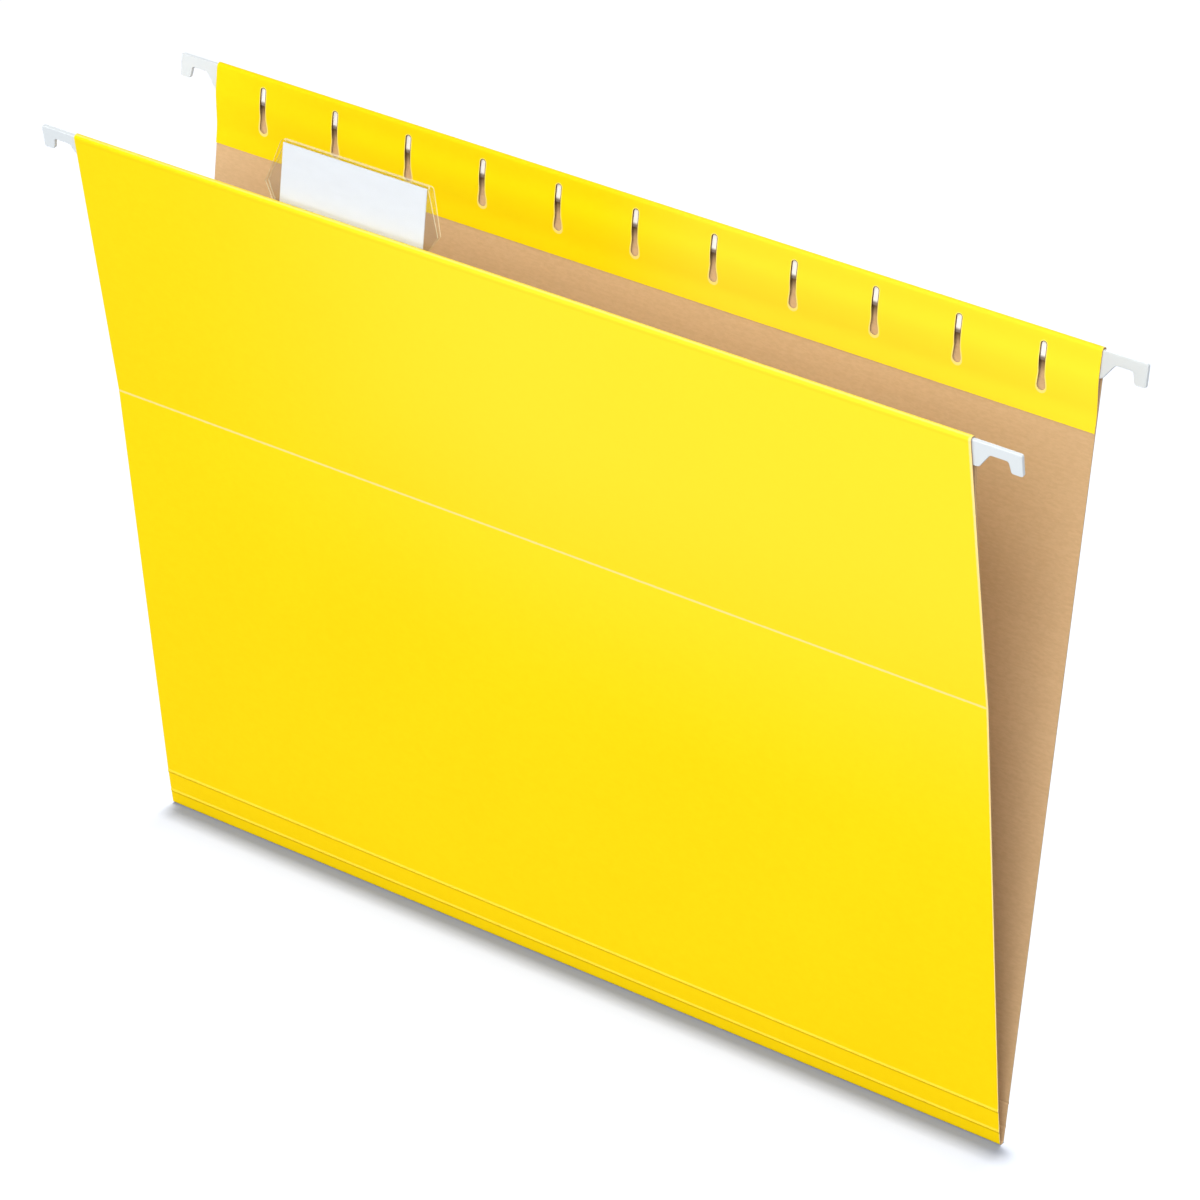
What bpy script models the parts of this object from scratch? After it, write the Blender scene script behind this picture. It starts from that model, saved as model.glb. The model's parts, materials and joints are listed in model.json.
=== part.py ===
"""Hanging file folder: a scored board sheet on two hooked hanger rods, with a clear index tab.

Units are metres and radians. +Z is up, +X runs along the rods and -Y is the front. The origin lies
under the middle of the bottom fold. The sheet is one piece of board, cut here at its creases, so that
each stretch is an object with its origin on the crease that it turns about.
"""
import math

import bmesh
import bpy
from mathutils import Vector

# Sheet
SHEET_WIDTH = 0.29845
SHEET_THICKNESS = 0.0003
LEAF_HEIGHT = 0.23495
MID_SCORE_HEIGHT = 0.14825
BOX_SCORE_HEIGHT = 0.0123
INNER_SCORE_HEIGHT = 0.00495
SCORE_BEAD_WIDTH = 0.0012
SCORE_BEAD_HEIGHT = 0.00015
CREASE_GAP = 0.0003
RIDGE_WIDTH = 0.0006
TOP_OPENING = 0.0642
MID_SCORE_BEND = math.radians(3.2)
BOX_SCORE_BEND = math.radians(1.8)

# Hem that holds a rod
HEM_DEPTH = 0.0244
GLUE_BAND = 0.0053
ROD_CLEARANCE = 0.0002

# Keyhole slots in the hem
SLOT_PITCH = 0.02636
SLOT_EDGE_MARGIN = 0.0135
SLOT_TOP_DEPTH = 0.0032
SLOT_LENGTH = 0.014
SLOT_NECK_WIDTH = 0.0019
SLOT_BULB_WIDTH = 0.0032
SLOT_FLARE_LENGTH = 0.004
SLOT_FLARE_STEPS = 4

# Hanger rod and its hooks
ROD_HEIGHT = 0.008
ROD_THICKNESS = 0.0012
ROD_EDGE_RADIUS = 0.0002
ROD_EDGE_STEPS = 2
FRONT_ROD_OFFSET = 0.0012
REAR_ROD_OFFSET = 0.0
HOOK_ARM_HEIGHT = 0.0032
HOOK_CORNER_RADIUS = 0.0006
HOOK_CORNER_STEPS = 3
GUSSET_START = 0.0004
GUSSET_RUN = 0.0036
NOTCH_WIDTH = 0.0055
TOOTH_LENGTH = 0.0035
TOOTH_ROOT_WIDTH = 0.0042
TOOTH_FOOT_WIDTH = 0.0035

# Index tab
TAB_FIRST_SLOT = -3
TAB_SLOT_SPAN = 2
TAB_SHEET_THICKNESS = 0.0003
TAB_DEPTH = 0.0026
TAB_LEAN = math.radians(17.0)
TAB_BEND_DEPTH = 0.0035
TAB_RISE = 0.02
TAB_TOP_WIDTH = 0.0512
TAB_SHOULDER_OVERHANG = 0.00345
TAB_SHOULDER_RISE = 0.0068
TAB_NECK_INSET = 0.0008
TAB_CORNER_RADIUS = 0.0012
TAB_PINCH_RISE = 0.002
TAB_PINCH_DEPTH = 0.0011
TAB_SIDE_PLAY = -0.0005
TAB_CLEARANCE = 0.0002
EAR_REACH = 0.0042
EAR_MARGIN = 0.0006
EAR_FOOT_MARGIN = 0.0025

# Paper insert in the tab
INSERT_THICKNESS = 0.0002
INSERT_SIDE_GAP = 0.00075
INSERT_TOP_GAP = 0.0006
INSERT_CLEARANCE = 0.00015

# Finishes
BOARD_COLOUR = (0.97, 0.72, 0.01)
BOARD_ROUGHNESS = 0.55
COATING_COLOUR = (0.8, 0.82, 0.83)
COATING_ROUGHNESS = 0.35
TAB_COLOUR = (0.93, 0.95, 0.96)
TAB_ROUGHNESS = 0.08
TAB_TRANSMISSION = 0.9
PAPER_COLOUR = (0.87, 0.9, 0.93)
PAPER_ROUGHNESS = 0.6

# Modelling
ARC_STEPS = 8
CUT_OVERRUN = 0.005
ROUND_PROFILE = 0.5

# Derived sheet sizes
HALF_SHEET = SHEET_THICKNESS / 2
CREASE_SETBACK = HALF_SHEET + CREASE_GAP
FOLD_AXIS_OFFSET = RIDGE_WIDTH / 2 + CREASE_SETBACK
AXIS_SPREAD = TOP_OPENING / 2 - FOLD_AXIS_OFFSET - HALF_SHEET
HEM_THICKNESS = 2 * SHEET_THICKNESS + ROD_THICKNESS + 2 * ROD_CLEARANCE
HEM_RADIUS = HEM_THICKNESS / 2
POCKET_RADIUS = HEM_RADIUS - SHEET_THICKNESS
GLUE_TOP_DEPTH = HEM_DEPTH - GLUE_BAND
ROD_TOP_DEPTH = HEM_RADIUS - math.sqrt(POCKET_RADIUS**2 - (ROD_THICKNESS / 2) ** 2) + ROD_CLEARANCE / 2
ROD_BOTTOM_DEPTH = ROD_TOP_DEPTH + ROD_HEIGHT
FLAP_BEND_DEPTH = ROD_BOTTOM_DEPTH + ROD_CLEARANCE
FLAP_SLOPE = math.atan2(HEM_THICKNESS - 2 * SHEET_THICKNESS, GLUE_TOP_DEPTH - FLAP_BEND_DEPTH)
SLOT_BOTTOM_DEPTH = SLOT_TOP_DEPTH + SLOT_LENGTH
ROD_REACH = SHEET_WIDTH / 2 + GUSSET_START + GUSSET_RUN + NOTCH_WIDTH + TOOTH_ROOT_WIDTH

# Derived tab sizes
TAB_HALF_SPAN = TAB_SLOT_SPAN * SLOT_PITCH / 2
TAB_CENTRE = TAB_FIRST_SLOT * SLOT_PITCH + TAB_HALF_SPAN + TAB_SIDE_PLAY
TAB_HALF_NECK = TAB_HALF_SPAN - TAB_NECK_INSET
TAB_SKIRT = 2 * TAB_SHEET_THICKNESS
EAR_BOTTOM = (SLOT_BOTTOM_DEPTH - FLAP_BEND_DEPTH - EAR_FOOT_MARGIN) / math.cos(FLAP_SLOPE)
SKIRT_DROP = EAR_BOTTOM + EAR_MARGIN


def front_lean():
    """Lean of the front's lower panel that brings its top fold to half the opening."""
    stretches = (
        (BOX_SCORE_HEIGHT, BOX_SCORE_BEND),
        (MID_SCORE_HEIGHT - BOX_SCORE_HEIGHT, 0.0),
        (LEAF_HEIGHT - MID_SCORE_HEIGHT, MID_SCORE_BEND),
    )
    along = sum(length * math.cos(bend) for length, bend in stretches)
    across = sum(length * math.sin(bend) for length, bend in stretches)
    return math.asin(AXIS_SPREAD / math.hypot(along, across)) - math.atan2(across, along)


REAR_LEAN = math.asin(AXIS_SPREAD / LEAF_HEIGHT)
FRONT_LEAN = front_lean()


def clear_scene():
    for item in list(bpy.data.objects):
        bpy.data.objects.remove(item, do_unlink=True)


def make_material(name, colour, roughness, transmission=0.0):
    material = bpy.data.materials.new(name)
    material.use_nodes = True
    shader = material.node_tree.nodes["Principled BSDF"]
    shader.inputs["Base Color"].default_value = (*colour, 1.0)
    shader.inputs["Roughness"].default_value = roughness
    shader.inputs["Metallic"].default_value = 0.0
    shader.inputs["Transmission Weight"].default_value = transmission
    return material


def board(name):
    return make_material(name, BOARD_COLOUR, BOARD_ROUGHNESS)


def coating(name):
    return make_material(name, COATING_COLOUR, COATING_ROUGHNESS)


def arc(centre, radius, start, end, steps=ARC_STEPS):
    """Points on a circular arc, both ends included, with angles in degrees."""
    points = []
    for step in range(steps + 1):
        angle = math.radians(start + (end - start) * step / steps)
        points.append((centre[0] + radius * math.cos(angle), centre[1] + radius * math.sin(angle)))
    return points


def add_prism(mesh, outline, start, sweep):
    """Extrude a closed outline of 3-D points along the sweep vector."""
    corners = [mesh.verts.new(Vector(point) + Vector(start)) for point in outline]
    face = mesh.faces.new(corners)
    swept = bmesh.ops.extrude_face_region(mesh, geom=[face])
    moved = [item for item in swept["geom"] if isinstance(item, bmesh.types.BMVert)]
    bmesh.ops.translate(mesh, verts=moved, vec=Vector(sweep))


def finish_object(name, mesh, material):
    bmesh.ops.recalc_face_normals(mesh, faces=mesh.faces)
    data = bpy.data.meshes.new(name)
    mesh.to_mesh(data)
    mesh.free()
    item = bpy.data.objects.new(name, data)
    bpy.context.scene.collection.objects.link(item)
    if material is not None:
        data.materials.append(material)
    return item


def along_x(name, outline, half_width, material):
    """Solid with the same profile of (y, z) points all along X."""
    mesh = bmesh.new()
    add_prism(mesh, [(0, y, z) for y, z in outline], (-half_width, 0, 0), (2 * half_width, 0, 0))
    return finish_object(name, mesh, material)


def cut(item, cutter, operation="DIFFERENCE"):
    """Boolean with a helper shape that isn't part of the object."""
    cutter.parent = item
    cutter.hide_render = True
    cutter.display_type = "WIRE"
    modifier = item.modifiers.new(cutter.name, "BOOLEAN")
    modifier.operation = operation
    modifier.object = cutter
    modifier.solver = "EXACT"


def hinge(child, parent, place, turn):
    """Hang a child on its parent, with its origin on the crease and turned about X."""
    child.parent = parent
    child.location = place
    child.rotation_euler = (turn, 0, 0)


def plain_outline(length, bead_height=None):
    """Stretch of sheet with its outer face at y = -half: a round end on its crease, and one set back."""
    start = arc((0, 0), HALF_SHEET, 180, 360)
    end = arc((0, length - CREASE_SETBACK - HALF_SHEET), HALF_SHEET, 0, 180)
    bead = []
    if bead_height is not None:
        half = SCORE_BEAD_WIDTH / 2
        bead = [
            (-HALF_SHEET, bead_height + half),
            (-HALF_SHEET - SCORE_BEAD_HEIGHT, bead_height),
            (-HALF_SHEET, bead_height - half),
        ]
    return start + end + bead


def hemmed_outline(top):
    """Stretch of sheet whose top is folded inwards over a rod and glued down, without its pocket."""
    flap = HEM_THICKNESS - HALF_SHEET
    glued = SHEET_THICKNESS + HALF_SHEET
    start = arc((0, 0), HALF_SHEET, 180, 360)
    hem = [
        (HALF_SHEET, top - HEM_DEPTH),
        (glued, top - HEM_DEPTH),
        (glued, top - GLUE_TOP_DEPTH),
        (flap, top - FLAP_BEND_DEPTH),
    ]
    fold = arc((HEM_RADIUS - HALF_SHEET, top - HEM_RADIUS), HEM_RADIUS, 0, 180)
    return start + hem + fold


def pocket_outline(top):
    """Space between the sheet and its flap."""
    sharp_end = [(HALF_SHEET, top - GLUE_TOP_DEPTH)]
    flap_side = [(HALF_SHEET + 2 * POCKET_RADIUS, top - FLAP_BEND_DEPTH)]
    fold = arc((HEM_RADIUS - HALF_SHEET, top - HEM_RADIUS), POCKET_RADIUS, 0, 180)
    return sharp_end + flap_side + fold


def keyhole_outline(centre, top):
    """Slot of (x, z) points: a round top, a straight neck and a flare into a round bulb."""
    neck = SLOT_NECK_WIDTH / 2
    bulb = SLOT_BULB_WIDTH / 2
    head = top - SLOT_TOP_DEPTH - neck
    foot = top - SLOT_BOTTOM_DEPTH + bulb
    flare = []
    for step in range(SLOT_FLARE_STEPS):
        share = step / SLOT_FLARE_STEPS
        eased = share * share * (3 - 2 * share)
        flare.append((neck + (bulb - neck) * eased, foot + SLOT_FLARE_LENGTH * (1 - share)))
    left_side = [(centre - half, z) for half, z in flare]
    right_side = [(centre + half, z) for half, z in reversed(flare)]
    round_top = arc((centre, head), neck, 0, 180)
    round_foot = arc((centre, foot), bulb, 180, 360)
    return round_top + left_side + round_foot + right_side


def slot_places():
    """Slots stand at an even pitch about the middle, as many as the sheet's width takes."""
    each_side = math.floor((SHEET_WIDTH / 2 - SLOT_EDGE_MARGIN) / SLOT_PITCH)
    return [number * SLOT_PITCH for number in range(-each_side, each_side + 1)]


def make_slot_cutter(name, top, inward):
    """Keyholes through the flap alone: they stop in the pocket, short of the sheet behind it."""
    flap_back = math.tan(FLAP_SLOPE) * (GLUE_TOP_DEPTH - SLOT_BOTTOM_DEPTH)
    start = inward * (HALF_SHEET + flap_back / 2)
    sweep = inward * (HEM_THICKNESS + CUT_OVERRUN)
    mesh = bmesh.new()
    for centre in slot_places():
        outline = [(x, 0, z) for x, z in keyhole_outline(centre, top)]
        add_prism(mesh, outline, (0, start, 0), (0, sweep, 0))
    return finish_object(name, mesh, None)


def make_hemmed_panel(name, top, inward):
    """Panel with a hem along its top; inward is +1 where the folder's inside lies at +Y, else -1."""
    outline = [(inward * y, z) for y, z in hemmed_outline(top)]
    panel = along_x(name, outline, SHEET_WIDTH / 2, board(name))
    hollow = [(inward * y, z) for y, z in pocket_outline(top)]
    cut(panel, along_x(name + "_pocket_cutter", hollow, SHEET_WIDTH / 2 + CUT_OVERRUN, None))
    cut(panel, make_slot_cutter(name + "_slot_cutter", top, inward))
    return panel


def make_plain_panel(name, length, inward, bead_height=None):
    outline = [(inward * y, z) for y, z in plain_outline(length, bead_height)]
    return along_x(name, outline, SHEET_WIDTH / 2, board(name))


def rod_outline():
    """Flat strip with a hook at each end, as (x, z) points below its top edge."""
    notch_inner = ROD_REACH - TOOTH_ROOT_WIDTH - NOTCH_WIDTH
    hook_foot = -HOOK_ARM_HEIGHT - TOOTH_LENGTH
    right = [
        (SHEET_WIDTH / 2 + GUSSET_START, -ROD_HEIGHT),
        (notch_inner, -HOOK_ARM_HEIGHT),
        (notch_inner + NOTCH_WIDTH, -HOOK_ARM_HEIGHT),
        (ROD_REACH - TOOTH_FOOT_WIDTH, hook_foot),
        (ROD_REACH, hook_foot),
        (ROD_REACH, 0),
    ]
    left = [(-x, z) for x, z in reversed(right)]
    return right + left


def bevel(mesh, edges, width, segments):
    bmesh.ops.bevel(
        mesh,
        geom=edges,
        offset=width,
        segments=segments,
        profile=ROUND_PROFILE,
        affect="EDGES",
        clamp_overlap=True,
    )


def crosses_strip(edge):
    """True for an edge that runs through the strip's thickness."""
    near, far = edge.verts
    return abs(near.co.y - far.co.y) > ROD_THICKNESS / 2


def make_hanger_rod(name):
    """Strip stamped from the outline, with rounded corners and a soft coated edge."""
    mesh = bmesh.new()
    outline = [(x, 0, z) for x, z in rod_outline()]
    add_prism(mesh, outline, (0, -ROD_THICKNESS / 2, 0), (0, ROD_THICKNESS, 0))
    corners = [edge for edge in mesh.edges if crosses_strip(edge)]
    bevel(mesh, corners, HOOK_CORNER_RADIUS, HOOK_CORNER_STEPS)
    rims = [edge for edge in mesh.edges if not crosses_strip(edge)]
    bevel(mesh, rims, ROD_EDGE_RADIUS, ROD_EDGE_STEPS)
    return finish_object(name, mesh, coating(name))


def seat_rod(rod, panel, top, inward, offset):
    """Put a rod in its panel's hem, a little to one side."""
    rod.parent = panel
    rod.location = (offset, inward * (HEM_RADIUS - HALF_SHEET), top - ROD_TOP_DEPTH)


def down_from_tab(tilt, distance):
    """Step down a direction that is tilted from the tab's own plane, as (y, z)."""
    return Vector((math.sin(tilt), -math.cos(tilt))) * distance


def skirt_knee():
    """Place on the tab's front face that lies over the flap's bend."""
    return down_from_tab(TAB_LEAN, FLAP_BEND_DEPTH - TAB_BEND_DEPTH)


def tab_profile():
    """Folded clear sheet as (y, z) points: round top, back sheet, pinch, skirt and front sheet."""
    radius = TAB_DEPTH / 2
    fold = arc((radius, TAB_RISE - radius), radius, 180, 0)
    pinch = [(TAB_PINCH_DEPTH, TAB_PINCH_RISE), (TAB_SKIRT, 0)]
    knee = skirt_knee()
    hem = knee + down_from_tab(TAB_LEAN - FLAP_SLOPE, SKIRT_DROP)
    back = [(TAB_SKIRT + knee.x, knee.y), (TAB_SKIRT + hem.x, hem.y)]
    front = [tuple(hem), tuple(knee), (0, 0)]
    return fold + pinch + back + front


def tab_gap_profile():
    """Space between the two clear sheets, closed where they are pinched together."""
    radius = TAB_DEPTH / 2 - TAB_SHEET_THICKNESS
    fold = arc((TAB_DEPTH / 2, TAB_RISE - TAB_DEPTH / 2), radius, 180, 0)
    pinch = [
        (TAB_PINCH_DEPTH - TAB_SHEET_THICKNESS, TAB_PINCH_RISE),
        (TAB_SHEET_THICKNESS, TAB_SHEET_THICKNESS),
    ]
    return fold + pinch


def make_tab_outline_cutter():
    """Front view of the tab: round top corners, sides that spread to shoulders, and a neck."""
    half_top = TAB_TOP_WIDTH / 2
    half_shoulder = TAB_HALF_SPAN + TAB_SHOULDER_OVERHANG
    depth = FLAP_BEND_DEPTH + SKIRT_DROP + CUT_OVERRUN
    corner = arc((half_top - TAB_CORNER_RADIUS, TAB_RISE - TAB_CORNER_RADIUS), TAB_CORNER_RADIUS, 90, 0)
    right = corner + [
        (half_shoulder, TAB_SHOULDER_RISE),
        (TAB_HALF_NECK, 0),
        (TAB_HALF_NECK, -depth),
    ]
    outline = right + [(-x, z) for x, z in reversed(right)]
    mesh = bmesh.new()
    run = TAB_DEPTH + depth + CUT_OVERRUN
    add_prism(mesh, [(x, 0, z) for x, z in outline], (0, -CUT_OVERRUN, 0), (0, run, 0))
    return finish_object("index_tab_outline_cutter", mesh, None)


def make_ear(name, side):
    """Ear on the skirt: it steps back through a slot and spreads behind the flap."""
    sheet = TAB_SHEET_THICKNESS
    root = TAB_SKIRT / 2
    behind = -TAB_CLEARANCE - SHEET_THICKNESS - ROD_CLEARANCE - sheet / 2
    step = (root - behind) / 2
    path = [
        (TAB_HALF_NECK - 2 * sheet, root),
        (TAB_HALF_SPAN - step / 2, root),
        (TAB_HALF_SPAN + step / 2, behind),
        (TAB_HALF_SPAN + EAR_REACH, behind),
    ]
    front = [(x, y - sheet / 2) for x, y in path]
    back = [(x, y + sheet / 2) for x, y in reversed(path)]
    outline = [(side * x, y, 0) for x, y in front + back]
    mesh = bmesh.new()
    add_prism(mesh, outline, (0, 0, -EAR_MARGIN), (0, 0, EAR_MARGIN - EAR_BOTTOM))
    ear = finish_object(name, mesh, None)
    ear.location = (-TAB_SIDE_PLAY, *skirt_knee())
    ear.rotation_euler = (TAB_LEAN - FLAP_SLOPE, 0, 0)
    return ear


def make_index_tab():
    half_width = TAB_HALF_SPAN + TAB_SHOULDER_OVERHANG + CUT_OVERRUN
    clear = make_material("index_tab", TAB_COLOUR, TAB_ROUGHNESS, TAB_TRANSMISSION)
    tab = along_x("index_tab", tab_profile(), half_width, clear)
    cut(tab, along_x("index_tab_gap_cutter", tab_gap_profile(), half_width + CUT_OVERRUN, None))
    cut(tab, make_tab_outline_cutter(), "INTERSECT")
    for name, side in (("index_tab_left_ear", -1), ("index_tab_right_ear", 1)):
        cut(tab, make_ear(name, side), "UNION")
    return tab


def make_tab_insert():
    """Paper card standing on the pinch, just behind the front clear sheet."""
    near = TAB_SHEET_THICKNESS + INSERT_CLEARANCE
    far = near + INSERT_THICKNESS
    top = TAB_RISE - TAB_SHEET_THICKNESS - INSERT_TOP_GAP
    outline = [(near, TAB_PINCH_RISE), (far, TAB_PINCH_RISE), (far, top), (near, top)]
    paper = make_material("tab_insert", PAPER_COLOUR, PAPER_ROUGHNESS)
    return along_x("tab_insert", outline, TAB_HALF_NECK - INSERT_SIDE_GAP, paper)


def build_rear():
    top = LEAF_HEIGHT - BOX_SCORE_HEIGHT
    panel = make_hemmed_panel("rear_panel", top, -1)
    panel.location = (
        0,
        FOLD_AXIS_OFFSET + BOX_SCORE_HEIGHT * math.sin(REAR_LEAN),
        HALF_SHEET + BOX_SCORE_HEIGHT * math.cos(REAR_LEAN),
    )
    panel.rotation_euler = (-REAR_LEAN, 0, 0)
    seat_rod(make_hanger_rod("rear_hanger_rod"), panel, top, -1, REAR_ROD_OFFSET)
    strip = make_plain_panel("rear_bottom_strip", BOX_SCORE_HEIGHT, -1, INNER_SCORE_HEIGHT)
    for vertex in strip.data.vertices:
        vertex.co.z -= BOX_SCORE_HEIGHT
    hinge(strip, panel, (0, 0, 0), 0)
    return strip


def build_ridge(strip):
    """Narrow flat of the bottom fold, between the creases that the two leaves turn about."""
    half = RIDGE_WIDTH / 2
    near = FOLD_AXIS_OFFSET - half
    far = FOLD_AXIS_OFFSET + half
    outline = [(-near, -HALF_SHEET), (-near, HALF_SHEET), (-far, HALF_SHEET), (-far, -HALF_SHEET)]
    ridge = along_x("bottom_fold_ridge", outline, SHEET_WIDTH / 2, board("bottom_fold_ridge"))
    hinge(ridge, strip, (0, 0, -BOX_SCORE_HEIGHT), REAR_LEAN)
    return ridge


def build_front(ridge):
    strip = make_plain_panel("front_bottom_strip", BOX_SCORE_HEIGHT, 1, INNER_SCORE_HEIGHT)
    hinge(strip, ridge, (0, -2 * FOLD_AXIS_OFFSET, 0), FRONT_LEAN + BOX_SCORE_BEND)
    lower_length = MID_SCORE_HEIGHT - BOX_SCORE_HEIGHT
    lower = make_plain_panel("front_lower_panel", lower_length, 1)
    hinge(lower, strip, (0, 0, BOX_SCORE_HEIGHT), -BOX_SCORE_BEND)
    top = LEAF_HEIGHT - MID_SCORE_HEIGHT
    upper = make_hemmed_panel("front_upper_panel", top, 1)
    hinge(upper, lower, (0, 0, lower_length), MID_SCORE_BEND)
    seat_rod(make_hanger_rod("front_hanger_rod"), upper, top, 1, FRONT_ROD_OFFSET)
    return upper


def build_tab(panel):
    """Tab with its skirt along the front hem's flap and its ears through two slots."""
    top = LEAF_HEIGHT - MID_SCORE_HEIGHT
    tab = make_index_tab()
    tab.parent = panel
    tab.location = (TAB_CENTRE, HEM_THICKNESS - HALF_SHEET + TAB_CLEARANCE, top - TAB_BEND_DEPTH)
    tab.rotation_euler = (-TAB_LEAN, 0, 0)
    insert = make_tab_insert()
    insert.parent = tab


def main():
    clear_scene()
    rear_strip = build_rear()
    ridge = build_ridge(rear_strip)
    front_upper = build_front(ridge)
    build_tab(front_upper)
    bpy.context.view_layer.update()


main()
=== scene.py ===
"""Looks of a hanging file folder: folded board, coated rods, a clear index tab and its paper."""
import json
import math
from collections import namedtuple

import bmesh
import bpy
from bpy.props import FloatProperty, FloatVectorProperty, IntProperty, PointerProperty
from mathutils import Matrix, Vector
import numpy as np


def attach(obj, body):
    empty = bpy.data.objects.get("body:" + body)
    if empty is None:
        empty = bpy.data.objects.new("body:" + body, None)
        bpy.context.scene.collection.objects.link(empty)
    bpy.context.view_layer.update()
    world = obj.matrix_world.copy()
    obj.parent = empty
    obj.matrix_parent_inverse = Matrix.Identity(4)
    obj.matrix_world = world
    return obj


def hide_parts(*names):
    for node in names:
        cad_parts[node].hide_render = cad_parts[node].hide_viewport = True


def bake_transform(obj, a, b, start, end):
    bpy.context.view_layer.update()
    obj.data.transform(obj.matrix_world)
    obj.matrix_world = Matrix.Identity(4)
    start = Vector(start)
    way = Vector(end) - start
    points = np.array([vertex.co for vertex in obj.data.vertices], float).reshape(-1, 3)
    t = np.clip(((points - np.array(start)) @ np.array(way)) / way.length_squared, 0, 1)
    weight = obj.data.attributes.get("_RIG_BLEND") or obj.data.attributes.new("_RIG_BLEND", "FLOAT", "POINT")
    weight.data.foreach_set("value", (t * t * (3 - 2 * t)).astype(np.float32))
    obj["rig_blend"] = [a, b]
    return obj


bl_info = {
    "name": "Hanging file folder",
    "version": (1, 0, 0),
    "blender": (4, 5, 0),
    "location": "3D View > Sidebar > Folder",
    "description": "Dresses the packed folder in folded board, coating, clear plastic and paper",
    "category": "Object",
}

LAY = "sheet_lay"
RUN = "run"
TINY = 1e-7
NEAR = 1e-6
SHARP_EDGE = math.radians(32)
UPRIGHT = Matrix.Rotation(math.pi / 2, 4, "X")
SLOT_SEGMENTS = 24
NECK_CUTS = 8
SENSOR_WIDTH = 36.0
SIGHT_END = 50.0
WHITE = (1.0, 1.0, 1.0, 1.0)
FRONT_BOARDS = (
    "front_upper_board", "front_lower_board", "front_strip_board", "front_box_crease",
    "middle_crease", "bottom_fold_board",
)
TAB_PIECES = ("index_tab", "tab_insert")
FOLDER_LAMPS = ("key", "top", "fill", "back")
FLOOR_LAMPS = ("floor_lamp", "floor_soft")

# Lines across a score's bead, in quarters of its width from the crest, and how far some rise.
BEAD_CUTS = (-2.6, -2, -1, 0, 1, 2, 2.6)
BEAD_RISE = ((-1, 0.5), (0, 1.0), (1, 0.5))

# A noise: cells a metre along each axis, detail and roughness.
Grain = namedtuple("Grain", "cells detail roughness", defaults=(0.55,))
# A painted line: how far from its middle it is solid, where it has faded away, and its strength.
Mark = namedtuple("Mark", "solid soft share", defaults=(1.0,))
# An opaque surface: roughness, what grain adds to it, specular level, bump height and strength.
Skin = namedtuple("Skin", "rough spread specular height strength")
# Weights of two grains.
TWO_GRAINS = (0.6, 0.4)

# Yellow face: grains and dye, the worn side, painted light and sheen upwards, to one side and on the flap,
# painted highlights and shade along the scores and top folds, and the edges of slots with burr and painted
# shade.
YELLOW_CLOUD = Grain((14,) * 3, 2)
YELLOW_MOTTLE = Grain((420,) * 3, 4, 0.65)
YELLOW_FIBRE = Grain((260, 1500, 1500), 3, 0.6)
YELLOW_RAGGED = Grain((700,) * 3, 3)
YELLOW_SKIN = Skin(0.55, 0.16, 0.06, 0.00003, 0.6)
DYE_WEIGHTS = (0.4, 0.4, 0.2)
DYE_DEPTH = (0.3, 0.7)
RAGGEDNESS = 0.0003
LEAST_SIDE_WEAR = 0.25
WORN_SIDE = Mark(0.0003, 0.0008)
# Painted highlights along the middle score, the front's top fold and the bottom scores' beads.
MIDDLE_HIGHLIGHT = Mark(0.0002, 0.00045, 0.8)
CREST_HIGHLIGHT = Mark(0.0001, 0.0005, 0.4)
CREST_PLACE = 0.45
BEAD_HIGHLIGHT = Mark(0.00025, 0.0005, 0.13)
BEAD_HIGHLIGHT_SHIFT = 0.2
# Painted shade below the bottom scores' beads, under the front's top fold and on the rear's top fold.
BEAD_SHADE = Mark(0.0002, 0.0004)
BEAD_SHADE_SHIFT = -0.4
SHOULDER_SHADE = Mark(0.0004, 0.0011, 0.3)
FOLD_SHADE = Mark(0.3, 0.6, 0.25)
PAINTED_SHADE_DEPTH = 0.45
# Painted light and sheen: shares by which the yellow is paler upwards and to one side, and lighter on the
# flap below its top fold.
SHEEN_SHARE = (0.07, 0.69)
LEAF_SHEEN = (-0.45, 0.05)
FLAP_SHEEN = (-0.06, 0.12)
FLAP_LIGHT_ACROSS = (-0.5, -0.3)
UPPER_SHEEN = (0.6, 1.3)
GLUED_LOSS = 0.5
SLOT_HALO = Mark(0.0002, 0.0005, 0.55)
# Burr and painted shade round a slot's neck.
SLOT_BURR_SHADE = Mark(0.0001, 0.00022)
BURR_FADE = 0.35

# Kraft face: grains, streaks and flecks, painted shade towards one side in shares of the leaf, and painted
# shade in the rod's pocket.
KRAFT_LAID = Grain((16, 900, 900), 3, 0.6)
KRAFT_FIBRE = Grain((500, 1400, 1400), 4, 0.65)
KRAFT_CLOUD = Grain((22,) * 3, 3)
KRAFT_FLECK = Grain((700, 1300, 1300), 1)
KRAFT_SKIN = Skin(0.72, 0.16, 0.1, 0.00004, 0.7)
STREAK_WEIGHTS = (0.22, 0.63, 0.15)
STREAK_EDGE = (0.36, 0.64)
STREAK_SHADE = 0.55
FLECK_EDGE = (0.66, 0.74)
FLECK_SHADE = 0.35
# Painted shade towards one side of the inner face, more of it higher up.
SIDE_SHADE_ACROSS = (0.1, 0.4)
SIDE_SHADE_UPWARDS = (0.5, 0.8)
SIDE_SHADE_SHARE = (0.12, 0.32)
# Painted shade in the rod's pocket, darkest just below the rod's foot.
POCKET_EDGE = (0.0038, 0.0006)
POCKET_SHADE = 0.6

# Cut edges, with painted shade on the slots' walls.
EDGE_FIBRE = Grain((1200,) * 3, 3, 0.6)
EDGE_SKIN = Skin(0.7, 0.2, 0.1, 0.00003, 1.0)
EDGE_STREAK = 0.4
SLOT_WALL_SHADE = Mark(0.0002, 0.0003)

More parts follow.
